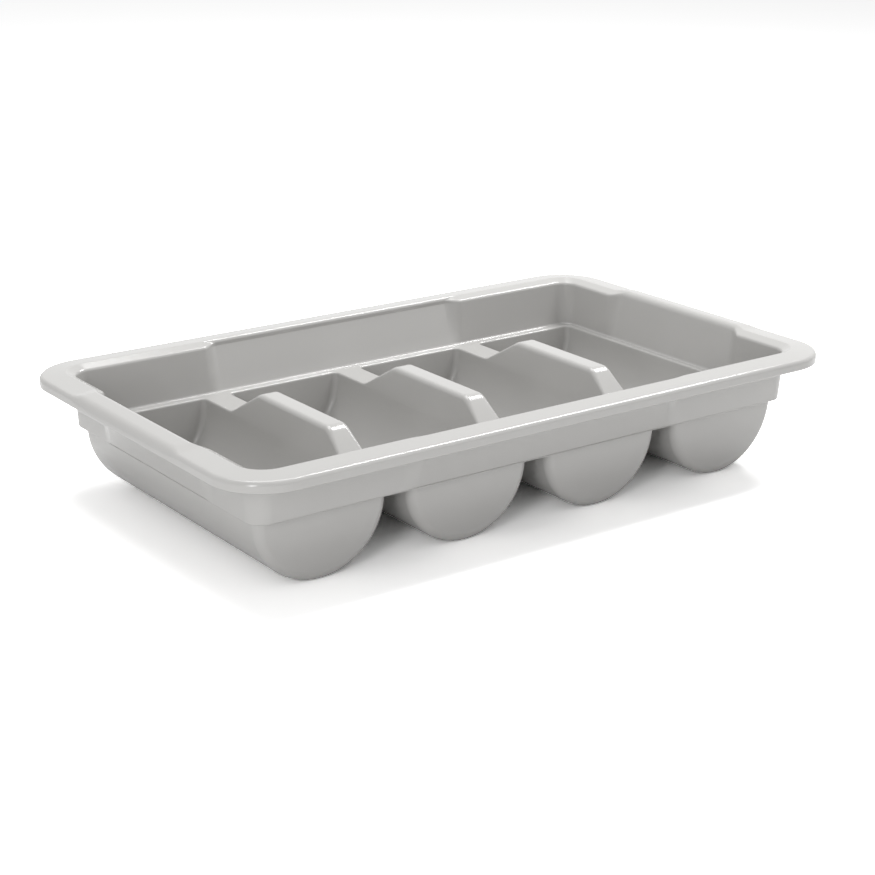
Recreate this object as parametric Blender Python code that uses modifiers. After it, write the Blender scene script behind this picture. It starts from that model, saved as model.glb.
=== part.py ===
"""Four-compartment cutlery tray, an injection moulding in grey polypropylene.

The tray is a shallow tub with a turned-down rim. Its floor is four half-round troughs that run from
front to back, and between two troughs stands a hollow divider whose top is raised in the middle.
Each named region of the moulding is one object. Lengths are in metres, X runs along the tray, the
front is -Y, and the origin is under the middle of the tray, on the table.
"""

import math

import bmesh
import bpy

# Overall size
TRAY_LENGTH = 0.530
TRAY_WIDTH = 0.325
RIM_HEIGHT = 0.0950
WALL = 0.0025
JOIN_GAP = 0.0003
OVERRUN = 0.004
MERGE_DISTANCE = 0.000001

# Rim: a flat top that falls a little outwards, and a skirt turned down at its outer edge
RIM_WIDTH = 0.0205
RIM_DROP = 0.0098
RIM_FALL = 0.0014
RIM_OUTER_ROUND = 0.0036
RIM_INNER_ROUND = 0.0030
RIM_CORNER_RADIUS = 0.041
RIM_WALL_LENGTH = 0.0090

# Grip zone in the middle of each short end, where the rim stands higher and is rounder
GRIP_HALF_WIDTH = 0.073
GRIP_LIFT = 0.0012
GRIP_FALL = 0.0008
GRIP_OUTER_ROUND = 0.0075
GRIP_INNER_ROUND = 0.0060

# Middle zone of each long wall, which leans out to the rim's inner edge. Outside the middle zones the
# wall is steeper, and a sloping shelf with a rounded shoulder joins it to the rim
PANEL_HALF_LENGTH = 0.117
BLEND_LENGTH = 0.014
SHELF_WIDTH = 0.0065
SHELF_ANGLE = 25
SHOULDER_ROUND = 0.0030

# Upper wall and the ledge at its foot
LEDGE_WIDTH_X = 0.0058
LEDGE_WIDTH_Y = 0.0078
LEDGE_ROUND = 0.0014
LEDGE_FILLET = 0.0015
STEP_HEIGHT = 0.0533
FOOT_CORNER_RADIUS = 0.0110

# Troughs
TROUGH_COUNT = 4
TROUGH_SPACING = 0.0177
TROUGH_INSET_X = 0.03145
TROUGH_INSET_Y = 0.0368
TROUGH_SIDE = 0.0017
TROUGH_END_TAPER = 0.0025
TROUGH_ROUND = 0.0068
BASE_FLAT_WIDTH = 0.0080

# Dividers
DIVIDER_RISE = 0.0228
DIVIDER_FOOT_BACK = 0.0820
DIVIDER_FOOT_FRONT = 0.0745
DIVIDER_TOP_BACK = 0.0445
DIVIDER_TOP_FRONT = 0.0485
DIVIDER_TOP_TAPER = 0.0022
DIVIDER_ROUND = 0.0042
DIVIDER_FOOT_ROUND = 0.0018

# Fineness of the curves
CORNER_STEPS = 8
BLEND_STEPS = 4
ROUND_STEPS = 3
TROUGH_STEPS = 24
TROUGH_ROUND_STEPS = 4
DIVIDER_ROUND_STEPS = 3

# Derived heights and places
LEDGE_HEIGHT = STEP_HEIGHT + WALL
RIM_CUT = RIM_HEIGHT - RIM_WALL_LENGTH
SHOULDER_INSET = RIM_WIDTH + SHELF_WIDTH
TROUGH_ROW = TRAY_LENGTH - 2 * TROUGH_INSET_X
TROUGH_WIDTH = (TROUGH_ROW - (TROUGH_COUNT - 1) * TROUGH_SPACING) / TROUGH_COUNT
TROUGH_PITCH = TROUGH_WIDTH + TROUGH_SPACING
TROUGH_CENTRE_HEIGHT = STEP_HEIGHT - TROUGH_SIDE
TROUGH_HALF_LENGTH = TRAY_WIDTH / 2 - TROUGH_INSET_Y
FOOT_INSETS = (TROUGH_INSET_X + WALL - LEDGE_WIDTH_X, TROUGH_INSET_Y + WALL - LEDGE_WIDTH_Y)
DIVIDER_HALF_WIDTH = TROUGH_SPACING / 2 + WALL

MOULDED_GREY = (0.50, 0.50, 0.49, 1.0)
MOULDED_ROUGHNESS = 0.32
SMOOTHING_ANGLE = math.radians(30)


def clear_scene():
    """Removes every object, mesh and collection that the file starts with."""
    for thing in list(bpy.data.objects):
        bpy.data.objects.remove(thing, do_unlink=True)
    for mesh in list(bpy.data.meshes):
        bpy.data.meshes.remove(mesh)
    for group in list(bpy.data.collections):
        bpy.data.collections.remove(group)


def new_collection(name, hidden=False):
    """Adds a collection to the scene."""
    group = bpy.data.collections.new(name)
    group.hide_render = hidden
    bpy.context.scene.collection.children.link(group)
    return group


def plastic(name):
    """Grey polypropylene with a moulded gloss."""
    material = bpy.data.materials.new(name)
    material.use_nodes = True
    shader = material.node_tree.nodes["Principled BSDF"]
    shader.inputs["Base Color"].default_value = MOULDED_GREY
    shader.inputs["Roughness"].default_value = MOULDED_ROUGHNESS
    shader.inputs["Metallic"].default_value = 0.0
    material.diffuse_color = MOULDED_GREY
    return material


def object_from(mesh_data, name, group):
    """Turns a bmesh into a smooth-shaded object with outward faces and its own material."""
    bmesh.ops.remove_doubles(mesh_data, verts=mesh_data.verts, dist=MERGE_DISTANCE)
    bmesh.ops.recalc_face_normals(mesh_data, faces=mesh_data.faces)
    mesh = bpy.data.meshes.new(name)
    mesh_data.to_mesh(mesh)
    mesh_data.free()
    mesh.shade_smooth()
    mesh.set_sharp_from_angle(angle=SMOOTHING_ANGLE)
    mesh.materials.append(plastic(name + "_plastic"))
    thing = bpy.data.objects.new(name, mesh)
    group.objects.link(thing)
    return thing


def smooth_step(value):
    """0 up to 0, 1 from 1 on, and a soft S between."""
    held = min(max(value, 0.0), 1.0)
    return held * held * (3.0 - 2.0 * held)


def zone_share(distance, half_zone):
    """How far a place belongs to the middle zone of a wall: 1 inside it, 0 outside, blended between."""
    return smooth_step((half_zone - abs(distance)) / BLEND_LENGTH + 0.5)


def side_stations(half_zone):
    """Places along one wall, low to high, where the outline needs a point: those of its two blends."""
    stations = []
    for centre in (-half_zone, half_zone):
        for step in range(BLEND_STEPS + 1):
            stations.append(centre + BLEND_LENGTH * (step / BLEND_STEPS - 0.5))
    return stations


def outline(insets, height, corner, long_shift=(0.0, 0.0), end_shift=(0.0, 0.0)):
    """One closed ring round the tray.

    insets are the distances inwards from the rim's outer edge, in X and in Y, and corner is the ring's
    corner radius. Each shift is a distance outwards and a distance up, for the middle zone of the long
    walls and of the short ends.
    """
    half_x = TRAY_LENGTH / 2 - insets[0]
    half_y = TRAY_WIDTH / 2 - insets[1]
    ring = []
    for quarter in range(4):
        on_end = quarter % 2 == 0
        half_zone = GRIP_HALF_WIDTH if on_end else PANEL_HALF_LENGTH
        out, lift = end_shift if on_end else long_shift
        sign = 1 if quarter < 2 else -1
        for station in side_stations(half_zone):
            share = zone_share(station, half_zone)
            level = height + lift * share
            if on_end:
                ring.append((sign * (half_x + out * share), sign * station, level))
            else:
                ring.append((-sign * station, sign * (half_y + out * share), level))
        centre_x = (half_x - corner) * (1 if quarter in (0, 3) else -1)
        centre_y = (half_y - corner) * (1 if quarter in (0, 1) else -1)
        for step in range(CORNER_STEPS + 1):
            angle = math.pi / 2 * (quarter + step / CORNER_STEPS)
            ring.append(
                (
                    centre_x + corner * math.cos(angle),
                    centre_y + corner * math.sin(angle),
                    height,
                )
            )
    return ring


def loft(rings, name, group):
    """A closed skin through rings of equally many points, the last joined to the first."""
    mesh_data = bmesh.new()
    rows = [[mesh_data.verts.new(point) for point in ring] for ring in rings]
    for row, after in zip(rows, rows[1:] + rows[:1]):
        for here in range(len(row)):
            there = (here + 1) % len(row)
            mesh_data.faces.new((row[here], row[there], after[there], after[here]))
    return object_from(mesh_data, name, group)


def arc(centre_inset, centre_height, radius, start, end):
    """Section points of a fillet, as (inset, height). Angle 0 points inwards and 90 degrees points up."""
    points = []
    for step in range(ROUND_STEPS + 1):
        angle = math.radians(start + (end - start) * step / ROUND_STEPS)
        points.append(
            (centre_inset + radius * math.cos(angle), centre_height + radius * math.sin(angle))
        )
    return points


def rim_path(outer_round, top, fall, inner_points):
    """Section of the rim's upper skin, as (inset, height), from the skirt's foot to the last inner point."""
    path = [(0.0, RIM_HEIGHT - RIM_DROP)]
    path += arc(outer_round, top - fall - outer_round, outer_round, 180, 95)
    return path + inner_points


def corner_path():
    """Rim section near the corners: the inner edge, the sloping shelf and its shoulder."""
    edge = arc(
        RIM_WIDTH - RIM_INNER_ROUND / 2, RIM_HEIGHT - RIM_INNER_ROUND, RIM_INNER_ROUND, 90, 90 - SHELF_ANGLE
    )
    turned = math.radians(90 - SHELF_ANGLE)
    crest_inset = SHOULDER_INSET - SHOULDER_ROUND * (1.0 - math.cos(turned))
    drop = (crest_inset - edge[-1][0]) * math.tan(math.radians(SHELF_ANGLE))
    centre_height = edge[-1][1] - drop - SHOULDER_ROUND * math.sin(turned)
    shoulder = arc(SHOULDER_INSET - SHOULDER_ROUND, centre_height, SHOULDER_ROUND, 90 - SHELF_ANGLE, 0)
    return rim_path(RIM_OUTER_ROUND, RIM_HEIGHT, RIM_FALL, edge + shoulder)


def long_path(foot_height):
    """Rim section in the middle of the long walls: the inner edge turns straight down into the wall."""
    edge = arc(RIM_WIDTH - RIM_INNER_ROUND, RIM_HEIGHT - RIM_INNER_ROUND, RIM_INNER_ROUND, 90, 10)
    last = edge[-1][1]
    down = []
    for step in range(ROUND_STEPS + 1):
        share = (step + 1) / (ROUND_STEPS + 1)
        down.append((RIM_WIDTH, last + (foot_height - last) * share))
    return rim_path(RIM_OUTER_ROUND, RIM_HEIGHT, RIM_FALL, edge + down)


def grip_path():
    """Rim section in the middle of the short ends: higher, and round on both sides."""
    top = RIM_HEIGHT + GRIP_LIFT
    centre = RIM_WIDTH - GRIP_INNER_ROUND
    crown = arc(centre, top - GRIP_INNER_ROUND, GRIP_INNER_ROUND, 90, 55)
    crown += arc(centre, top - GRIP_INNER_ROUND, GRIP_INNER_ROUND, 45, 8)
    return rim_path(GRIP_OUTER_ROUND, top, GRIP_FALL, crown)


def offset_path(path, distance):
    """A section moved into the material by a constant distance."""
    moved = []
    for index, point in enumerate(path):
        before = path[max(index - 1, 0)]
        after = path[min(index + 1, len(path) - 1)]
        normals = []
        for first, second in ((before, point), (point, after)):
            length = math.dist(first, second)
            if length > MERGE_DISTANCE:
                normals.append(((second[1] - first[1]) / length, (first[0] - second[0]) / length))
        sum_inset = sum(normal[0] for normal in normals)
        sum_height = sum(normal[1] for normal in normals)
        size = math.hypot(sum_inset, sum_height)
        bisector = (sum_inset / size, sum_height / size)
        reach = distance / (bisector[0] * normals[0][0] + bisector[1] * normals[0][1])
        moved.append((point[0] + bisector[0] * reach, point[1] + bisector[1] * reach))
    return moved


def path_rings(corner, along, grip):
    """Rings through matching points of the three rim sections."""
    rings = []
    for base, middle, end in zip(corner, along, grip):
        rings.append(
            outline(
                (base[0], base[0]),
                base[1],
                RIM_CORNER_RADIUS - base[0],
                (base[0] - middle[0], middle[1] - base[1]),
                (base[0] - end[0], end[1] - base[1]),
            )
        )
    return rings


def wall_ring(height, outwards=0.0):
    """Ring on the wall's inner face, which leans in from the shoulder to the ledge, or outside that face."""
    shoulder_foot = corner_path()[-1][1]
    share = (shoulder_foot - height) / (shoulder_foot - LEDGE_HEIGHT)
    insets = [SHOULDER_INSET + (foot - SHOULDER_INSET) * share - outwards for foot in FOOT_INSETS]
    shoulder_corner = RIM_CORNER_RADIUS - SHOULDER_INSET
    corner = shoulder_corner + (FOOT_CORNER_RADIUS - shoulder_corner) * share + outwards
    shift = (SHELF_WIDTH * (1.0 - share), 0.0)
    return outline(insets, height, corner, shift, shift)


def build_rim(group):
    """The rim: crown, turned-down skirt, and the first stretch of the wall under its inner edge."""
    corner = corner_path()
    upper = (corner, long_path(corner[-1][1]), grip_path())
    lower = [offset_path(path, WALL) for path in upper]
    rings = path_rings(*upper)
    rings.append(wall_ring(RIM_CUT))
    rings.append(wall_ring(RIM_CUT, WALL))
    rings += reversed(path_rings(*lower))
    return loft(rings, "rim", group)


def build_upper_wall(group):
    """The wall under the rim and the ledge at its foot, one L section all round."""
    top = RIM_CUT - JOIN_GAP
    fillet_top = wall_ring(LEDGE_HEIGHT + LEDGE_FILLET)
    rings = [wall_ring(top), fillet_top]
    foot = [inset + LEDGE_FILLET for inset in FOOT_INSETS]
    rings.append(outline(foot, LEDGE_HEIGHT, FOOT_CORNER_RADIUS - LEDGE_FILLET))
    edge_corner = FOOT_CORNER_RADIUS - LEDGE_WIDTH_X
    edge = ((LEDGE_ROUND, LEDGE_HEIGHT), (0.0, LEDGE_HEIGHT - LEDGE_ROUND), (0.0, STEP_HEIGHT))
    for outwards, height in edge:
        insets = (TROUGH_INSET_X + WALL - outwards, TROUGH_INSET_Y + WALL - outwards)
        rings.append(outline(insets, height, edge_corner + outwards))
    rings.append(wall_ring(STEP_HEIGHT, WALL))
    rings.append(wall_ring(top, WALL))
    return loft(rings, "upper_wall", group)


def trough_profile(half_width, bottom, top):
    """Half-round trough section, as (x, z) from its upper left corner round to its upper right.

    Its centre is under the step by the straight side, and a flat cuts the round off at the bottom.
    """
    start = math.acos(BASE_FLAT_WIDTH / 2 / half_width)
    depth = (TROUGH_CENTRE_HEIGHT - bottom) / math.sin(start)
    points = [(-half_width, top)]
    for step in range(TROUGH_STEPS // 2 + 1):
        angle = start * step / (TROUGH_STEPS // 2)
        points.append((-half_width * math.cos(angle), TROUGH_CENTRE_HEIGHT - depth * math.sin(angle)))
    return points + [(-x, z) for x, z in reversed(points)]


def trough_block(centre, half_width, half_length, end_round, bottom, top):
    """A solid block of a trough's shape: its section drawn out along Y, its ends leaning in and rounded."""
    mesh_data = bmesh.new()
    section = trough_profile(half_width, bottom, top)
    corners = [mesh_data.verts.new((centre + x, -half_length, z)) for x, z in section]
    front = mesh_data.faces.new(corners)
    drawn = bmesh.ops.extrude_face_region(mesh_data, geom=[front])
    moved = [item for item in drawn["geom"] if isinstance(item, bmesh.types.BMVert)]
    bmesh.ops.translate(mesh_data, verts=moved, vec=(0.0, 2 * half_length, 0.0))
    for corner in mesh_data.verts:
        lean = TROUGH_END_TAPER * (STEP_HEIGHT - corner.co.z) / STEP_HEIGHT
        corner.co.y -= math.copysign(lean, corner.co.y)
    mesh_data.normal_update()
    end_edges = []
    for edge in mesh_data.edges:
        first, second = edge.verts
        across = abs(first.co.y - second.co.y) > half_length
        along_top = min(first.co.z, second.co.z) > top - JOIN_GAP
        if not across and not along_top:
            end_edges.append(edge)
    bmesh.ops.bevel(
        mesh_data,
        geom=end_edges,
        offset=end_round,
        offset_type="OFFSET",
        segments=TROUGH_ROUND_STEPS,
        profile=0.5,
        affect="EDGES",
        clamp_overlap=False,
    )
    return mesh_data


def cut(target, cutter):
    """Subtracts one object from another."""
    difference = target.modifiers.new("cut_" + cutter.name, "BOOLEAN")
    difference.operation = "DIFFERENCE"
    difference.solver = "EXACT"
    difference.object = cutter


def as_cutter(thing):
    """Marks an object as a cutting tool, which never shows."""
    thing.hide_render = True
    thing.display_type = "WIRE"
    return thing


def build_trough(number, group, cutters):
    """One compartment: a half-round trough with a constant wall, open at the top."""
    centre = (number - (TROUGH_COUNT - 1) / 2) * TROUGH_PITCH
    half_width = TROUGH_WIDTH / 2
    name = f"compartment_{number + 1}"
    top = STEP_HEIGHT - JOIN_GAP
    body = trough_block(centre, half_width, TROUGH_HALF_LENGTH, TROUGH_ROUND, 0.0, top)
    trough = object_from(body, name, group)
    hollow = trough_block(
        centre,
        half_width - WALL,
        TROUGH_HALF_LENGTH - WALL,
        TROUGH_ROUND - WALL,
        WALL,
        STEP_HEIGHT + OVERRUN,
    )
    cut(trough, as_cutter(object_from(hollow, name + "_hollow", cutters)))
    return trough


def divider_side(offset, foot_height):
    """Side view of a divider's raised part, as (y, z), drawn in by offset along its top and slopes."""
    top = LEDGE_HEIGHT + DIVIDER_RISE - offset
    corners = []
    for foot, crest in ((DIVIDER_FOOT_BACK, DIVIDER_TOP_BACK), (DIVIDER_FOOT_FRONT, DIVIDER_TOP_FRONT)):
        run = foot - crest
        shift = offset * (math.hypot(run, DIVIDER_RISE) - run) / DIVIDER_RISE
        spread = (top - foot_height) * run / DIVIDER_RISE
        corners.append((crest - shift, crest - shift + spread))
    (back_top, back_foot), (front_top, front_foot) = corners
    return [(back_foot, foot_height), (back_top, top), (-front_top, top), (-front_foot, foot_height)]


def divider_block(centre, half_width, side):
    """Solid block of a divider: its side view drawn out across X, and narrowed towards the top."""
    mesh_data = bmesh.new()
    corners = [mesh_data.verts.new((centre - half_width, y, z)) for y, z in side]
    left = mesh_data.faces.new(corners)
    drawn = bmesh.ops.extrude_face_region(mesh_data, geom=[left])
    moved = [item for item in drawn["geom"] if isinstance(item, bmesh.types.BMVert)]
    bmesh.ops.translate(mesh_data, verts=moved, vec=(2 * half_width, 0.0, 0.0))
    for corner in mesh_data.verts:
        rise = max(corner.co.z - LEDGE_HEIGHT, 0.0) / DIVIDER_RISE
        away = corner.co.x - centre
        corner.co.x -= math.copysign(DIVIDER_TOP_TAPER * rise, away)
    return mesh_data


def round_top_edges(thing, width, low_share):
    """Rounds the two long top edges, by width where they are raised and by a share of it at the feet."""
    mesh = thing.data
    weights = mesh.attributes.new("bevel_weight_edge", "FLOAT", "EDGE")
    for edge in mesh.edges:
        first, second = (mesh.vertices[index].co for index in edge.vertices)
        along = abs(first.x - second.x) < DIVIDER_HALF_WIDTH
        lowest = min(first.z, second.z)
        if not along or lowest < LEDGE_HEIGHT - JOIN_GAP:
            continue
        raised = max(first.z, second.z) > LEDGE_HEIGHT + WALL
        weights.data[edge.index].value = 1.0 if raised else low_share
    bevel = thing.modifiers.new("round_top", "BEVEL")
    bevel.limit_method = "WEIGHT"
    bevel.width = width
    bevel.segments = DIVIDER_ROUND_STEPS


def build_divider(number, group, cutters):
    """One divider: a hollow ridge, low at both ends, that bridges two compartments."""
    centre = (number + 1 - TROUGH_COUNT / 2) * TROUGH_PITCH
    name = f"divider_{number + 1}"
    end = TROUGH_HALF_LENGTH - WALL - JOIN_GAP
    side = [(end, STEP_HEIGHT), (end, LEDGE_HEIGHT)]
    side += divider_side(0.0, LEDGE_HEIGHT)
    side += [(-end, LEDGE_HEIGHT), (-end, STEP_HEIGHT)]
    ridge = object_from(divider_block(centre, DIVIDER_HALF_WIDTH, side), name, group)
    round_top_edges(ridge, DIVIDER_ROUND, DIVIDER_FOOT_ROUND / DIVIDER_ROUND)
    hollow_side = divider_side(WALL, STEP_HEIGHT - OVERRUN)
    hollow = divider_block(centre, DIVIDER_HALF_WIDTH - WALL, hollow_side)
    cut(ridge, as_cutter(object_from(hollow, name + "_hollow", cutters)))
    return ridge


def build():
    """Makes the whole tray."""
    clear_scene()
    tray = new_collection("cutlery_tray")
    cutters = new_collection("cutters", hidden=True)
    build_rim(tray)
    build_upper_wall(tray)
    for number in range(TROUGH_COUNT):
        build_trough(number, tray, cutters)
    for number in range(TROUGH_COUNT - 1):
        build_divider(number, tray, cutters)


build()
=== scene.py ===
"""The looks of a four-compartment cutlery tray: one moulded skin of light grey polypropylene.

The tray is drawn as its maker would tool it: an upper skin and a lower skin, a wall's thickness apart,
each made of a rim with its wall, four half-round troughs, three dividers and the flat ledge between them.
Lengths are in metres and match those of the part's source. The front of the tray faces -Y.
"""

import logging
import math
from dataclasses import dataclass, field
from enum import Enum
from typing import Sequence

import bpy
from mathutils import Matrix, Vector


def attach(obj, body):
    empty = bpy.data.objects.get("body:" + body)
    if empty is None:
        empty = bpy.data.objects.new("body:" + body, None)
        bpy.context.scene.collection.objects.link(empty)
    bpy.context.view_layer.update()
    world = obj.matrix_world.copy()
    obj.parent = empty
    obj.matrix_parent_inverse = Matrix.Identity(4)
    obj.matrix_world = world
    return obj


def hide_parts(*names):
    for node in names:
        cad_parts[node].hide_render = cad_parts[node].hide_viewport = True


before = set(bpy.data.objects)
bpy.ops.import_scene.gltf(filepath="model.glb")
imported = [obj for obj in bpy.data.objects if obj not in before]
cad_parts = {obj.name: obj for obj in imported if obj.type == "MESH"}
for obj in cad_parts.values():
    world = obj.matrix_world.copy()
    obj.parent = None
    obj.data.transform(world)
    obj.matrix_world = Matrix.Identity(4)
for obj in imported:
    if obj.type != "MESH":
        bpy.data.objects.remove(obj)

Point = tuple[float, float, float]
SectionPoint = tuple[float, float]

log = logging.getLogger("cutlery_tray")

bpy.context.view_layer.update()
BODY = "root"
MERGE_DISTANCE = 0.00002
PLANE_TOLERANCE = 0.00001
LEAST_LENGTH = PLANE_TOLERANCE / 10
PLACE_DIGITS = 6


class Skin(Enum):
    """The two faces of the moulding."""

    UPPER = "upper"
    LOWER = "lower"


@dataclass(frozen=True)
class TraySizes:
    """Driving sizes of the tray, the same as those of its solids."""

    length: float = 0.530
    width: float = 0.325
    rim_height: float = 0.0950
    wall: float = 0.0025
    rim_width: float = 0.0205
    rim_drop: float = 0.0098
    rim_fall: float = 0.0014
    rim_outer_round: float = 0.0036
    rim_inner_round: float = 0.0030
    rim_corner_radius: float = 0.041
    skirt_foot_round: float = 0.0011
    grip_half_width: float = 0.073
    grip_lift: float = 0.0012
    grip_fall: float = 0.0008
    grip_outer_round: float = 0.0075
    grip_inner_round: float = 0.0060
    panel_half_length: float = 0.117
    blend_length: float = 0.014
    shelf_width: float = 0.0065
    shelf_angle: float = 25.0
    shoulder_round: float = 0.0030
    ledge_width_x: float = 0.0058
    ledge_width_y: float = 0.0078
    ledge_fillet: float = 0.0015
    step_height: float = 0.0533
    step_round: float = 0.0010
    foot_corner_radius: float = 0.0110
    trough_count: int = 4
    trough_width: float = 0.1035
    trough_spacing: float = 0.0177
    trough_inset_y: float = 0.0368
    trough_end_taper: float = 0.0025
    trough_round: float = 0.0068
    trough_mouth_round: float = 0.0016
    base_flat_width: float = 0.0080
    divider_rise: float = 0.0228
    divider_foot_back: float = 0.0820
    divider_foot_front: float = 0.0745
    divider_top_back: float = 0.0445
    divider_top_front: float = 0.0485
    divider_top_taper: float = 0.0022
    divider_round: float = 0.0042
    divider_bend: float = 0.0040
    # Where the fillets of the rim's sections end, in degrees: 0 points inwards and 90 up.
    outer_round_end: float = 95.0
    long_edge_end: float = 10.0
    grip_crest_end: float = 50.0
    grip_turn_start: float = 45.0
    grip_turn_end: float = 8.0

    @property
    def ledge_height(self) -> float:
        """Height of the ledge's top."""
        return self.step_height + self.wall

    @property
    def shoulder_inset(self) -> float:
        """Inset of the wall at the shoulder, near the corners."""
        return self.rim_width + self.shelf_width

    @property
    def pitch(self) -> float:
        """Distance between two troughs' middles."""
        return self.trough_width + self.trough_spacing

    @property
    def trough_inset_x(self) -> float:
        """Inset of the first trough's outer side."""
        row = self.trough_count * self.trough_width + (self.trough_count - 1) * self.trough_spacing
        return (self.length - row) / 2

    @property
    def trough_half_length(self) -> float:
        """Half the length of a trough's outside at the step."""
        return self.width / 2 - self.trough_inset_y

    @property
    def foot_insets(self) -> SectionPoint:
        """Insets of the wall's inner face at the ledge, in X and in Y."""
        return (
            self.trough_inset_x + self.wall - self.ledge_width_x,
            self.trough_inset_y + self.wall - self.ledge_width_y,
        )


@dataclass(frozen=True)
class Fineness:
    """How many steps each curve is drawn in."""

    corner: int = 16
    blend: int = 10
    round: int = 8
    wall: int = 4
    trough: int = 30
    trough_corner: int = 8
    trough_end: int = 6
    mouth: int = 5
    divider_side: int = 4
    divider_round: int = 8
    divider_flat: int = 2
    divider_spacing: float = 0.0080
    divider_bend_spacing: float = 0.0010


def linear(value: str) -> tuple[float, float, float, float]:
    """Turns an sRGB hex colour into the linear colour that a shader reads.

    Args:
        value: the colour as "#rrggbb".

    Returns:
        Linear red, green and blue, and an alpha of 1.
    """
    channels = [int(value[start : start + 2], 16) / 255 for start in (1, 3, 5)]
    bent = [c / 12.92 if c <= 0.04045 else ((c + 0.055) / 1.055) ** 2.4 for c in channels]
    return (bent[0], bent[1], bent[2], 1.0)


def add_node(
    tree: bpy.types.NodeTree,
    kind: str,
    settings: dict[str, object] | None = None,
    links: dict[str, bpy.types.NodeSocket] | None = None,
) -> bpy.types.Node:
    """Adds a node with its settings and links.

    Args:
        tree: the node tree that gets it.
        kind: Blender's name of the node type.
        settings: values by input name, or by property name where there is no such input.
        links: sockets that feed the inputs of these names.

    Returns:
        The new node.
    """
    node = tree.nodes.new(kind)
    for name, value in (settings or {}).items():
        if name in node.inputs:
            node.inputs[name].default_value = value
        else:
            setattr(node, name, value)
    for name, socket in (links or {}).items():
        tree.links.new(socket, node.inputs[name])
    return node


@dataclass(frozen=True)
class MouldedPolypropylene:
    """Polypropylene from a polished mould: a clear, even gloss over an opaque light grey."""

    name: str = "light_grey_moulded_polypropylene"
    colour: str = "#ADACAA"
    roughness: float = 0.18
    ior: float = 1.49
    sink_size_mm: float = 70.0
    sink_depth_mm: float = 0.02
    sink_detail: float = 1.0
    sink_roughness: float = 0.4

    def material(self) -> bpy.types.Material:
        """Makes the material, with the faint unevenness that cooling leaves in a large moulding.

        Returns:
            The new material.
        """
        material = bpy.data.materials.new(self.name)
        material.use_nodes = True
        tree = material.node_tree
        shader = tree.nodes["Principled BSDF"]
        shader.inputs["Base Color"].default_value = linear(self.colour)
        shader.inputs["IOR"].default_value = self.ior
        shader.inputs["Roughness"].default_value = self.roughness
        place = add_node(tree, "ShaderNodeTexCoord")
        sinks = add_node(
            tree,
            "ShaderNodeTexNoise",
            {
                "Scale": 1000 / self.sink_size_mm,
                "Detail": self.sink_detail,
                "Roughness": self.sink_roughness,
            },
            {"Vector": place.outputs["Object"]},
        )
        uneven = add_node(
            tree,
            "ShaderNodeBump",
            {"Strength": 1.0, "Distance": self.sink_depth_mm / 1000},
            {"Height": sinks.outputs["Fac"]},
        )
        tree.links.new(uneven.outputs["Normal"], shader.inputs["Normal"])
        return material


def smooth_step(value: float) -> float:
    """Rises from 0 to 1 in a soft S.

    Args:
        value: how far along the rise is, where 0 is its start and 1 its end.

    Returns:
        0 before the start, 1 after the end, and the S between.
    """
    held = min(max(value, 0.0), 1.0)
    return held * held * (3.0 - 2.0 * held)


def arc(
    centre: SectionPoint, radius: float, start: float, end: float, steps: int
) -> list[SectionPoint]:
    """Points of a fillet in a section of inset and height.

    Args:
        centre: the fillet's centre.
        radius: the fillet's radius.
        start: first angle in degrees. 0 points inwards and 90 points up.
        end: last angle in degrees.
        steps: how many steps the fillet is drawn in.

    Returns:
        The points, one more than the steps.
    """
    angles = [math.radians(start + (end - start) * step / steps) for step in range(steps + 1)]
    return [
        (centre[0] + radius * math.cos(angle), centre[1] + radius * math.sin(angle)) for angle in angles
    ]


def offset_path(path: Sequence[SectionPoint], distance: float) -> list[SectionPoint]:
    """Moves a section into the material by a constant distance.

    Args:
        path: the section's points.
        distance: how far they move.

    Returns:
        The moved points, one for each.
    """
    moved = []
    for index, point in enumerate(path):
        before = path[max(index - 1, 0)]
        after = path[min(index + 1, len(path) - 1)]
        normals = []
        for first, second in ((before, point), (point, after)):
            length = math.dist(first, second)
            if length > LEAST_LENGTH:
                normals.append(((second[1] - first[1]) / length, (first[0] - second[0]) / length))
        total = (sum(normal[0] for normal in normals), sum(normal[1] for normal in normals))
        size = math.hypot(*total)
        bisector = (total[0] / size, total[1] / size)
        reach = distance / (bisector[0] * normals[0][0] + bisector[1] * normals[0][1])
        moved.append((point[0] + bisector[0] * reach, point[1] + bisector[1] * reach))
    return moved


def sheet(name: str, rows: Sequence[Sequence[Point]]) -> bpy.types.Object:
    """Lays a grid over rows of equally many points.

    Args:
        name: the new object's name.
        rows: the points, row by row.

    Returns:
        The new object.
    """
    bpy.ops.object.select_all(action="DESELECT")
    bpy.ops.mesh.primitive_grid_add(x_subdivisions=len(rows[0]) - 1, y_subdivisions=len(rows) - 1)
    thing = bpy.context.object
    thing.name = name
    places = [value for row in rows for point in row for value in point]
    thing.data.vertices.foreach_set("co", places)
    thing.data.update()
    return thing


def select_plane_border(thing: bpy.types.Object, height: float) -> None:
    """Selects the open edges of a mesh that lie in one level plane, and enters edit mode.

    Args:
        thing: the object.
        height: the plane's height.
    """
    mesh = thing.data
    uses: dict[tuple[int, int], int] = {}
    for polygon in mesh.polygons:
        for key in polygon.edge_keys:
            uses[key] = uses.get(key, 0) + 1
    bpy.ops.object.mode_set(mode="EDIT")
    bpy.ops.mesh.select_mode(type="EDGE")
    bpy.ops.mesh.select_all(action="DESELECT")
    bpy.ops.object.mode_set(mode="OBJECT")
    for edge in mesh.edges:
        low, high = sorted(edge.vertices)
        level = all(abs(mesh.vertices[end].co.z - height) < PLANE_TOLERANCE for end in (low, high))
        edge.select = level and uses.get((low, high), 0) == 1
    bpy.ops.object.mode_set(mode="EDIT")


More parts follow.
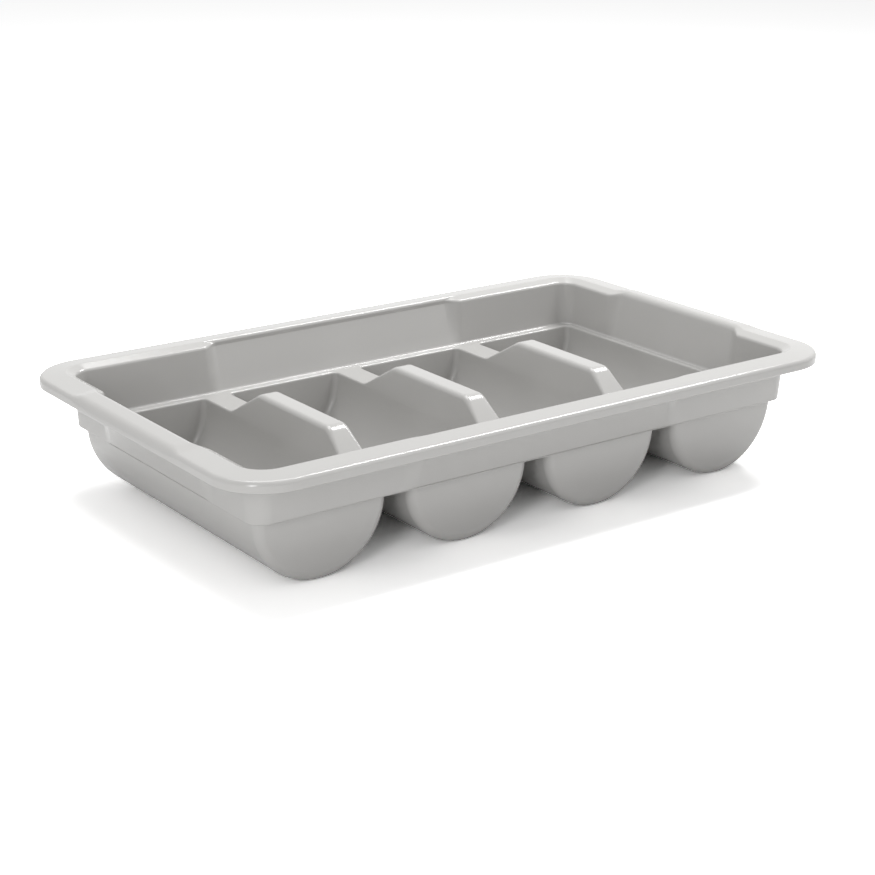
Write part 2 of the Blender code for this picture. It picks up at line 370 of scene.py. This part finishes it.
@dataclass
class RimAndWall:
    """Rim, skirt, leaning wall and the ledge's fillet, on both skins."""

    sizes: TraySizes = field(default_factory=TraySizes)
    steps: Fineness = field(default_factory=Fineness)

    def stations(self, half_zone: float) -> list[tuple[float, float]]:
        """Places along one wall that need a point, with each one's share in the middle zone.

        Args:
            half_zone: half the length of the wall's middle zone.

        Returns:
            Place and share, from the low end of the wall to its high end.
        """
        places = []
        blend = self.sizes.blend_length
        for centre in (-half_zone, half_zone):
            for step in range(self.steps.blend + 1):
                place = centre + blend * (step / self.steps.blend - 0.5)
                places.append((place, smooth_step((half_zone - abs(place)) / blend + 0.5)))
        return places

    def ring(
        self,
        insets: SectionPoint,
        height: float,
        corner: float,
        long_shift: SectionPoint = (0.0, 0.0),
        end_shift: SectionPoint = (0.0, 0.0),
    ) -> list[Point]:
        """One closed ring round the tray, its first point repeated at the end.

        Args:
            insets: distances inwards from the rim's outer edge, in X and in Y.
            height: the ring's height.
            corner: the ring's corner radius.
            long_shift: distance outwards and up, in the middle of the long walls.
            end_shift: the same, in the middle of the short ends.

        Returns:
            The ring's points.
        """
        half_x = self.sizes.length / 2 - insets[0]
        half_y = self.sizes.width / 2 - insets[1]
        points: list[Point] = []
        for quarter in range(4):
            on_end = quarter % 2 == 0
            half_zone = self.sizes.grip_half_width if on_end else self.sizes.panel_half_length
            out, lift = end_shift if on_end else long_shift
            sign = 1 if quarter < 2 else -1
            for place, share in self.stations(half_zone):
                level = height + lift * share
                if on_end:
                    points.append((sign * (half_x + out * share), sign * place, level))
                else:
                    points.append((-sign * place, sign * (half_y + out * share), level))
            centre_x = (half_x - corner) * (1 if quarter in (0, 3) else -1)
            centre_y = (half_y - corner) * (1 if quarter in (0, 1) else -1)
            for step in range(self.steps.corner + 1):
                angle = math.pi / 2 * (quarter + step / self.steps.corner)
                points.append(
                    (centre_x + corner * math.cos(angle), centre_y + corner * math.sin(angle), height)
                )
        return points + points[:1]

    def rim_path(
        self, outer_round: float, top: float, fall: float, inner: list[SectionPoint]
    ) -> list[SectionPoint]:
        """Section of the rim's upper skin, from above the skirt's foot inwards.

        Args:
            outer_round: radius of the rim's outer edge.
            top: height of the crown.
            fall: how much the crown falls to its outer edge.
            inner: points of the inner side.

        Returns:
            Points of inset and height.
        """
        sizes = self.sizes
        foot = sizes.rim_height - sizes.rim_drop + sizes.skirt_foot_round
        centre = (outer_round, top - fall - outer_round)
        outer = arc(centre, outer_round, 180, sizes.outer_round_end, self.steps.round)
        return [(0.0, foot), *outer, *inner]

    def corner_path(self) -> list[SectionPoint]:
        """Rim section near the corners: inner edge, sloping shelf and shoulder."""
        sizes = self.sizes
        slope = sizes.shelf_angle
        radius = sizes.rim_inner_round
        centre = (sizes.rim_width - radius / 2, sizes.rim_height - radius)
        edge = arc(centre, radius, 90, 90 - slope, self.steps.round)
        turned = math.radians(90 - slope)
        crest = sizes.shoulder_inset - sizes.shoulder_round * (1.0 - math.cos(turned))
        drop = (crest - edge[-1][0]) * math.tan(math.radians(slope))
        centre = (
            sizes.shoulder_inset - sizes.shoulder_round,
            edge[-1][1] - drop - sizes.shoulder_round * math.sin(turned),
        )
        shoulder = arc(centre, sizes.shoulder_round, 90 - slope, 0, self.steps.round)
        return self.rim_path(sizes.rim_outer_round, sizes.rim_height, sizes.rim_fall, edge + shoulder)

    def long_path(self, foot_height: float) -> list[SectionPoint]:
        """Rim section in the middle of the long walls, where the inner edge turns down into the wall.

        Args:
            foot_height: height of the section's last point.

        Returns:
            Points of inset and height.
        """
        sizes = self.sizes
        radius = sizes.rim_inner_round
        centre = (sizes.rim_width - radius, sizes.rim_height - radius)
        edge = arc(centre, radius, 90, sizes.long_edge_end, self.steps.round)
        last = edge[-1][1]
        count = self.steps.round + 1
        down = [
            (sizes.rim_width, last + (foot_height - last) * (step + 1) / count) for step in range(count)
        ]
        return self.rim_path(sizes.rim_outer_round, sizes.rim_height, sizes.rim_fall, edge + down)

    def grip_path(self) -> list[SectionPoint]:
        """Rim section in the middle of the short ends: higher, and round on both sides."""
        sizes = self.sizes
        top = sizes.rim_height + sizes.grip_lift
        radius = sizes.grip_inner_round
        centre = (sizes.rim_width - radius, top - radius)
        crown = arc(centre, radius, 90, sizes.grip_crest_end, self.steps.round)
        crown += arc(centre, radius, sizes.grip_turn_start, sizes.grip_turn_end, self.steps.round)
        return self.rim_path(sizes.grip_outer_round, top, sizes.grip_fall, crown)

    def path_rings(self, *paths: list[SectionPoint]) -> list[list[Point]]:
        """Rings through matching points of the sections at the corners, long walls and grips."""
        rings = []
        for base, middle, end in zip(*paths):
            rings.append(
                self.ring(
                    (base[0], base[0]),
                    base[1],
                    self.sizes.rim_corner_radius - base[0],
                    (base[0] - middle[0], middle[1] - base[1]),
                    (base[0] - end[0], end[1] - base[1]),
                )
            )
        return rings

    def wall_ring(self, height: float, outwards: float = 0.0) -> list[Point]:
        """Ring on the wall's inner face, or a distance outside it.

        Args:
            height: the ring's height.
            outwards: distance outside the inner face.

        Returns:
            The ring's points.
        """
        sizes = self.sizes
        top = self.corner_path()[-1][1]
        share = (top - height) / (top - sizes.ledge_height)
        start = sizes.shoulder_inset
        insets = [start + (foot - start) * share - outwards for foot in sizes.foot_insets]
        top_corner = sizes.rim_corner_radius - start
        corner = top_corner + (sizes.foot_corner_radius - top_corner) * share + outwards
        shift = (sizes.shelf_width * (1.0 - share), 0.0)
        return self.ring((insets[0], insets[1]), height, corner, shift, shift)

    def skirt_foot_rings(self) -> list[list[Point]]:
        """Rings round the skirt's foot, from its inner side to its outer side."""
        sizes = self.sizes
        radius = sizes.skirt_foot_round
        level = sizes.rim_height - sizes.rim_drop + radius
        half = self.steps.round // 2
        points = arc((sizes.wall - radius, level), radius, 0, -90, half)
        points += arc((radius, level), radius, -90, -180, half)
        corner = sizes.rim_corner_radius
        return [self.ring((inset, inset), height, corner - inset) for inset, height in points]

    def foot_fillet(self, radius: float, plane: float, start: float) -> list[list[Point]]:
        """Rings round the fillet between the wall and the flat at its foot.

        Args:
            radius: the fillet's radius.
            plane: height of the flat.
            start: distance of the fillet's upper end inwards from the wall's inner face.

        Returns:
            The rings, from the first below the wall to the one on the flat.
        """
        rings = []
        for inset, height in arc((0.0, 0.0), 1.0, 180, 270, self.steps.round)[1:]:
            inwards = radius * (1.0 + inset) + start
            insets = [foot + inwards for foot in self.sizes.foot_insets]
            level = plane + radius * (1.0 + height)
            corner = self.sizes.foot_corner_radius - inwards
            rings.append(self.ring((insets[0], insets[1]), level, corner))
        return rings

    def build(self) -> bpy.types.Object:
        """Makes one sheet from the step under the wall, over the rim, to the ledge.

        Returns:
            The sheet.
        """
        sizes = self.sizes
        corner = self.corner_path()
        upper = (corner, self.long_path(corner[-1][1]), self.grip_path())
        lower = [offset_path(path, sizes.wall) for path in upper]
        top = corner[-1][1]
        inner_foot = sizes.ledge_height + sizes.ledge_fillet
        outer_foot = sizes.step_height + sizes.step_round
        count = self.steps.wall
        shares = [step / count for step in range(1, count + 1)]
        inside = [self.wall_ring(top + (inner_foot - top) * share) for share in shares]
        start = top - sizes.wall
        outside = [
            self.wall_ring(start + (outer_foot - start) * share, sizes.wall) for share in shares
        ]
        fillet = self.foot_fillet(sizes.ledge_fillet, sizes.ledge_height, 0.0)
        edge = self.foot_fillet(sizes.step_round, sizes.step_height, -sizes.wall)
        rows = [*reversed(edge), *reversed(outside), *reversed(self.path_rings(*lower))]
        rows += self.skirt_foot_rings()
        rows += self.path_rings(*upper)
        rows += inside + fillet
        return sheet("rim_and_wall", rows)


@dataclass
class Trough:
    """One half-round trough of one skin, from its mouth down to the flat at its bottom."""

    number: int
    skin: Skin
    sizes: TraySizes = field(default_factory=TraySizes)
    steps: Fineness = field(default_factory=Fineness)

    @property
    def thickness(self) -> float:
        """Distance inside the trough's outer face."""
        return self.sizes.wall if self.skin is Skin.UPPER else 0.0

    @property
    def radius(self) -> float:
        """Radius of the half-round section."""
        return self.sizes.trough_width / 2 - self.thickness

    @property
    def centre(self) -> float:
        """The trough's middle along the tray."""
        return (self.number - (self.sizes.trough_count - 1) / 2) * self.sizes.pitch

    @property
    def plate_height(self) -> float:
        """Height of the flat that the trough hangs from."""
        return self.sizes.ledge_height if self.skin is Skin.UPPER else self.sizes.step_height

    @property
    def mouth_height(self) -> float:
        """Height at which the trough's sides end and the round of its mouth starts."""
        return self.plate_height - self.sizes.trough_mouth_round

    def half_length(self, height: float) -> float:
        """Half the trough's length, whose ends lean in a little towards the bottom.

        Args:
            height: the height at which it is taken.

        Returns:
            The half length at that height.
        """
        sizes = self.sizes
        lean = sizes.trough_end_taper * (sizes.step_height - height) / sizes.step_height
        return sizes.trough_half_length - self.thickness - lean

    def end_round(self) -> float:
        """Radius between the trough's ends and its section."""
        return self.sizes.trough_round - self.thickness

    def side_places(self) -> list[float]:
        """Places along a side, as shares of its straight length: close together where a divider bends."""
        sizes, steps = self.sizes, self.steps
        reach = self.half_length(self.mouth_height) - self.end_round()
        bends = (
            sizes.divider_foot_back,
            sizes.divider_top_back,
            -sizes.divider_top_front,
            -sizes.divider_foot_front,
        )
        count = math.ceil(2 * reach / steps.divider_spacing)
        places = {round(-reach + 2 * reach * step / count, PLACE_DIGITS) for step in range(count + 1)}
        near = math.ceil(sizes.divider_bend / steps.divider_bend_spacing)
        for bend in bends:
            places = {p for p in places if abs(p - bend) > sizes.divider_bend or abs(p) >= reach - sizes.wall}
        for bend in bends:
            places |= {
                round(bend + steps.divider_bend_spacing * step, PLACE_DIGITS)
                for step in range(-near, near + 1)
            }
        return [place / reach for place in sorted(places)]

    def level_ring(self, height: float, outwards: float = 0.0) -> list[list[Point]]:
        """A level slice of the trough, in its four parts.

        Args:
            height: the slice's height.
            outwards: how far the slice is moved outwards, for the round of the mouth.

        Returns:
            Right side from front to back, back end with its corners, left side, front end.
        """
        centre_height = self.centre_height()
        depth = max(centre_height - height, 0.0)
        end = self.half_length(min(height, self.mouth_height))
        turn = self.end_round()
        reach = end - turn
        half = math.sqrt(max(self.radius**2 - depth**2, 0.0)) + outwards
        right = [(self.centre + half, share * reach, height) for share in self.side_places()]
        left = [(self.centre - half, y, z) for _, y, z in reversed(right)]
        lowest = 0.0
        if self.radius - turn < depth:
            lowest = math.asin(min(1.0 - (self.radius - depth) / turn, 1.0))
        corner: list[SectionPoint] = []
        for step in range(1, self.steps.trough_corner + 1):
            angle = math.pi / 2 + (lowest - math.pi / 2) * step / self.steps.trough_corner
            inwards = turn * (1.0 - math.sin(angle))
            ahead = turn * math.cos(angle)
            across = math.sqrt(max((self.radius - inwards) ** 2 - depth**2, 0.0))
            corner.append((across + outwards * math.sin(angle), reach + ahead + outwards * math.cos(angle)))
        last = corner[-1][0]
        count = self.steps.trough_end
        flat = [
            (last * (1.0 - 2.0 * step / count), corner[-1][1]) for step in range(1, count)
        ]
        back = corner + flat + [(-x, y) for x, y in reversed(corner)]
        back_points = [(self.centre + x, y, height) for x, y in back]
        front_points = [(self.centre - x, -y, height) for x, y in back]
        return [right, back_points, left, front_points]

    def centre_height(self) -> float:
        """Height of the half-round section's centre."""
        flat = self.sizes.base_flat_width / 2
        sink = self.radius - math.sqrt(self.radius**2 - flat**2)
        return self.thickness + self.radius - sink

    def build_tub(self) -> bpy.types.Object:
        """Makes the trough's surface from its mouth down.

        Returns:
            The sheet.
        """
        centre = self.centre_height()
        heights = [self.mouth_height]
        first = math.acos(self.sizes.base_flat_width / 2 / self.radius)
        for step in range(self.steps.trough + 1):
            heights.append(centre - self.radius * math.sin(first * step / self.steps.trough))
        heights = [height for height in heights if height <= self.mouth_height]
        rows = []
        for height in heights:
            points = [point for part in self.level_ring(height) for point in part]
            rows.append(points + points[:1])
        rows.append([(self.centre, y, z) for _, y, z in rows[-1]])
        return sheet(f"trough_{self.number + 1}_{self.skin.value}", rows)

    def build_mouth(self) -> list[bpy.types.Object]:
        """Makes the round of the mouth, along the ends and along a side that has no divider.

        Returns:
            The sheets.
        """
        radius = self.sizes.trough_mouth_round
        rounds = []
        for step in range(self.steps.mouth + 1):
            angle = math.pi / 2 * step / self.steps.mouth
            rounds.append((radius * (1.0 - math.cos(angle)), self.mouth_height + radius * math.sin(angle)))
        rings = [self.level_ring(height, outwards) for outwards, height in rounds]
        is_first = self.number == 0
        is_last = self.number == self.sizes.trough_count - 1
        back = [[right[-1], *back, left[0]] for right, back, left, _ in rings]
        front = [[left[-1], *front, right[0]] for right, _, left, front in rings]
        runs = [back, front]
        if is_first:
            runs.append([left for _, _, left, _ in rings])
        if is_last:
            runs.append([right for right, _, _, _ in rings])
        name = f"mouth_{self.number + 1}_{self.skin.value}"
        return [sheet(f"{name}_{index}", rows) for index, rows in enumerate(runs)]


@dataclass
class Divider:
    """One skin of a divider: a ridge between two troughs, raised in its middle."""

    number: int
    skin: Skin
    sizes: TraySizes = field(default_factory=TraySizes)
    steps: Fineness = field(default_factory=Fineness)

    def side_trough(self) -> Trough:
        """The trough on the divider's left, whose right side the divider starts from."""
        return Trough(self.number, self.skin, self.sizes, self.steps)

    def rise(self, place: float) -> float:
        """How high the divider stands above the ledge at a place along it.

        Args:
            place: distance from the tray's middle towards its back.

        Returns:
            The rise, with soft bends at the foot and at the top of each slope.
        """
        sizes = self.sizes
        if place > 0:
            foot, crest = sizes.divider_foot_back, sizes.divider_top_back
        else:
            foot, crest = sizes.divider_foot_front, sizes.divider_top_front
        run = foot - crest
        if self.skin is Skin.LOWER:
            shift = sizes.wall * (math.hypot(run, sizes.divider_rise) - run) / sizes.divider_rise
            foot, crest = foot - shift, crest - shift
        slope = sizes.divider_rise / run
        soft = sizes.divider_bend
        away = abs(place)
        ramp = soft_corner(away - crest, soft) - soft_corner(away - foot, soft)
        return sizes.divider_rise - slope * ramp

    def section(self, place: float) -> list[SectionPoint]:
        """Half section across the divider, from the trough's mouth up and in to the middle.

        Args:
            place: distance from the tray's middle towards its back.

        Returns:
            Points of distance from the divider's middle line, and height.
        """
        sizes, steps = self.sizes, self.steps
        trough = self.side_trough()
        start = trough.mouth_height
        rise = self.rise(place)
        share = rise / sizes.divider_rise
        top = trough.plate_height + rise
        half = sizes.pitch / 2 - trough.radius
        full_round = sizes.divider_round - (sizes.wall if self.skin is Skin.LOWER else 0.0)
        radius = sizes.trough_mouth_round + (full_round - sizes.trough_mouth_round) * smooth_step(share)
        side = max(top - radius - start, 0.0)
        lean = sizes.divider_top_taper * share
        points = []
        for step in range(steps.divider_side):
            part = step / steps.divider_side
            points.append((half - lean * part, start + side * part))
        for step in range(steps.divider_round + 1):
            angle = math.pi / 2 * step / steps.divider_round
            points.append(
                (half - lean - radius * (1.0 - math.cos(angle)), top - radius + radius * math.sin(angle))
            )
        flat = half - lean - radius
        for step in range(1, steps.divider_flat + 1):
            points.append((flat * (1.0 - step / steps.divider_flat), top))
        return points

    def build(self) -> bpy.types.Object:
        """Makes the strip between two troughs' mouths.

        Returns:
            The sheet.
        """
        trough = self.side_trough()
        middle = trough.centre + self.sizes.pitch / 2
        rows = []
        for _, place, _ in trough.level_ring(trough.mouth_height)[0]:
            half = self.section(place)
            left = [(middle - across, place, height) for across, height in half]
            right = [(middle + across, place, height) for across, height in reversed(half[:-1])]
            rows.append(left + right)
        return sheet(f"divider_{self.number + 1}_{self.skin.value}", rows)


def soft_corner(value: float, softness: float) -> float:
    """Cuts a value off at 0, with the corner of the cut rounded.

    Args:
        value: the value.
        softness: how far the rounding reaches on either side of 0.

    Returns:
        The value above the rounding, 0 below it, and a parabola between.
    """
    if value <= -softness:
        return 0.0
    if value >= softness:
        return value
    return (value + softness) ** 2 / (4.0 * softness)


@dataclass
class Tray:
    """The whole moulding: both skins joined into one closed shell."""

    sizes: TraySizes = field(default_factory=TraySizes)
    steps: Fineness = field(default_factory=Fineness)
    plastic: MouldedPolypropylene = field(default_factory=MouldedPolypropylene)
    name: str = "moulded_tray"
    sharp_angle: float = 50.0

    def sheets(self) -> list[bpy.types.Object]:
        """Makes every sheet of the shell.

        Returns:
            The sheets, the rim with its wall first.
        """
        made = [RimAndWall(self.sizes, self.steps).build()]
        for skin in Skin:
            for number in range(self.sizes.trough_count):
                trough = Trough(number, skin, self.sizes, self.steps)
                made.append(trough.build_tub())
                made += trough.build_mouth()
            for number in range(self.sizes.trough_count - 1):
                made.append(Divider(number, skin, self.sizes, self.steps).build())
        return made

    def build(self) -> bpy.types.Object:
        """Joins the sheets, fills the two flats between them and smooths the whole.

        Returns:
            The tray.
        """
        made = self.sheets()
        bpy.ops.object.select_all(action="DESELECT")
        for piece in made:
            piece.select_set(True)
        bpy.context.view_layer.objects.active = made[0]
        bpy.ops.object.join()
        tray = bpy.context.object
        tray.name = self.name
        tray.data.name = self.name
        bpy.ops.object.mode_set(mode="EDIT")
        bpy.ops.mesh.select_all(action="SELECT")
        bpy.ops.mesh.remove_doubles(threshold=MERGE_DISTANCE)
        bpy.ops.mesh.dissolve_degenerate(threshold=LEAST_LENGTH)
        bpy.ops.object.mode_set(mode="OBJECT")
        for height in (self.sizes.ledge_height, self.sizes.step_height):
            select_plane_border(tray, height)
            bpy.ops.mesh.fill()
            bpy.ops.object.mode_set(mode="OBJECT")
        bpy.ops.object.mode_set(mode="EDIT")
        bpy.ops.mesh.select_all(action="SELECT")
        bpy.ops.mesh.normals_make_consistent(inside=False)
        bpy.ops.object.mode_set(mode="OBJECT")
        tray.data.materials.clear()
        tray.data.materials.append(self.plastic.material())
        bpy.ops.object.shade_smooth_by_angle(angle=math.radians(self.sharp_angle))
        even = tray.modifiers.new("even_shading", "WEIGHTED_NORMAL")
        even.keep_sharp = True
        bpy.ops.object.modifier_apply(modifier=even.name)
        for slot_name in tray.data.uv_layers.keys():
            tray.data.uv_layers.remove(tray.data.uv_layers[slot_name])
        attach(tray, BODY)
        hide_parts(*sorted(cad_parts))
        log.info("%s: %d faces", tray.name, len(tray.data.polygons))
        return tray


@dataclass(frozen=True)
class SoftBox:
    """A large soft studio lamp."""

    name: str
    place: Point
    aim: Point
    size: SectionPoint
    power: float
    colour: str = "#FFFFFF"

    def build(self) -> bpy.types.Object:
        """Hangs the lamp.

        Returns:
            The lamp.
        """
        data = bpy.data.lights.new(self.name, "AREA")
        data.shape = "RECTANGLE"
        data.size, data.size_y = self.size
        data.energy = self.power
        data.color = linear(self.colour)[:3]
        lamp = bpy.data.objects.new(self.name, data)
        bpy.context.scene.collection.objects.link(lamp)
        lamp.location = self.place
        towards = Vector(self.aim) - Vector(self.place)
        lamp.rotation_euler = towards.to_track_quat("-Z", "Y").to_euler()
        return lamp


@dataclass
class Studio:
    """Pale floor, soft light and the camera."""

    floor_half: float = 6.0
    floor_bounce: float = 0.90
    floor_shown: float = 1.70
    ambient: float = 0.52
    lamps: tuple[SoftBox, ...] = (
        SoftBox("lamp_right_above", (0.95, 0.05, 1.45), (0.0, 0.0, 0.05), (0.40, 0.70), 22.0),
        SoftBox("lamp_above", (0.0, 0.45, 1.7), (0.0, 0.0, 0.05), (1.2, 0.8), 15.0),
        SoftBox("lamp_front_left", (-1.35, -0.98, 0.50), (0.0, 0.0, 0.05), (0.30, 0.95), 9.0),
    )
    azimuth: float = -35.75
    elevation: float = 18.78
    roll: float = 0.04
    focal_pixels: float = 1934.38
    distance: float = 1.49558
    shift_right: float = 0.00119
    shift_up: float = 0.02963
    frame_pixels: float = 875.0
    sensor_mm: float = 36.0

    def build_floor(self) -> bpy.types.Object:
        """Lays the floor, which shows white to the camera and keeps the tray's shadow.

        Returns:
            The floor.
        """
        bpy.ops.object.select_all(action="DESELECT")
        bpy.ops.mesh.primitive_plane_add(size=2 * self.floor_half)
        floor = bpy.context.object
        floor.name = "studio_floor"
        material = bpy.data.materials.new("white_studio_paper")
        material.use_nodes = True
        tree = material.node_tree
        tree.nodes.clear()
        path = add_node(tree, "ShaderNodeLightPath")
        strength = add_node(
            tree,
            "ShaderNodeMapRange",
            {"To Min": self.floor_bounce, "To Max": self.floor_shown},
            {"Value": path.outputs["Is Camera Ray"]},
        )
        white = add_node(tree, "ShaderNodeCombineColor")
        for channel in ("Red", "Green", "Blue"):
            tree.links.new(strength.outputs["Result"], white.inputs[channel])
        matt = add_node(tree, "ShaderNodeBsdfDiffuse", links={"Color": white.outputs["Color"]})
        add_node(tree, "ShaderNodeOutputMaterial", links={"Surface": matt.outputs["BSDF"]})
        floor.data.materials.append(material)
        return floor

    def build_world(self) -> None:
        """Surrounds the tray with an even grey that the camera and reflections see as white."""
        world = bpy.data.worlds.new("studio_surround")
        bpy.context.scene.world = world
        world.use_nodes = True
        tree = world.node_tree
        tree.nodes.clear()
        path = add_node(tree, "ShaderNodeLightPath")
        seen = add_node(tree, "ShaderNodeMath", {"operation": "MAXIMUM"})
        tree.links.new(path.outputs["Is Camera Ray"], seen.inputs[0])
        tree.links.new(path.outputs["Is Glossy Ray"], seen.inputs[1])
        shown = add_node(tree, "ShaderNodeMath", {"operation": "MAXIMUM"})
        tree.links.new(seen.outputs["Value"], shown.inputs[0])
        tree.links.new(path.outputs["Is Transmission Ray"], shown.inputs[1])
        dim = add_node(tree, "ShaderNodeBackground", {"Color": (1, 1, 1, 1), "Strength": self.ambient})
        white = add_node(tree, "ShaderNodeBackground", {"Color": (1, 1, 1, 1), "Strength": 1.0})
        mixed = add_node(tree, "ShaderNodeMixShader")
        tree.links.new(shown.outputs["Value"], mixed.inputs[0])
        tree.links.new(dim.outputs["Background"], mixed.inputs[1])
        tree.links.new(white.outputs["Background"], mixed.inputs[2])
        add_node(tree, "ShaderNodeOutputWorld", links={"Surface": mixed.outputs["Shader"]})

    def build_camera(self) -> bpy.types.Object:
        """Sets the camera at the angle and distance that were fitted to the photograph.

        Returns:
            The camera.
        """
        turn, climb, roll = (math.radians(v) for v in (self.azimuth, self.elevation, self.roll))
        back = Vector(
            (math.sin(turn) * math.cos(climb), -math.cos(turn) * math.cos(climb), math.sin(climb))
        )
        level = Vector((math.cos(turn), math.sin(turn), 0.0))
        upright = back.cross(level)
        right = math.cos(roll) * level + math.sin(roll) * upright
        up = math.cos(roll) * upright - math.sin(roll) * level
        data = bpy.data.cameras.new("photo_camera")
        data.sensor_width = self.sensor_mm
        data.lens = self.sensor_mm * self.focal_pixels / self.frame_pixels
        camera = bpy.data.objects.new("photo_camera", data)
        bpy.context.scene.collection.objects.link(camera)
        place = self.shift_right * right + self.shift_up * up + self.distance * back
        camera.matrix_world = Matrix.Translation(place) @ Matrix((right, up, back)).transposed().to_4x4()
        bpy.context.scene.camera = camera
        return camera

    def build(self) -> None:
        """Sets up the whole studio."""
        self.build_floor()
        self.build_world()
        for lamp in self.lamps:
            lamp.build()
        self.build_camera()
        bpy.context.scene.view_settings.view_transform = "Standard"


def main() -> None:
    """Builds the tray and its studio."""
    logging.basicConfig(level=logging.INFO)
    Tray().build()
    Studio().build()


if __name__ == "__main__":
    main()
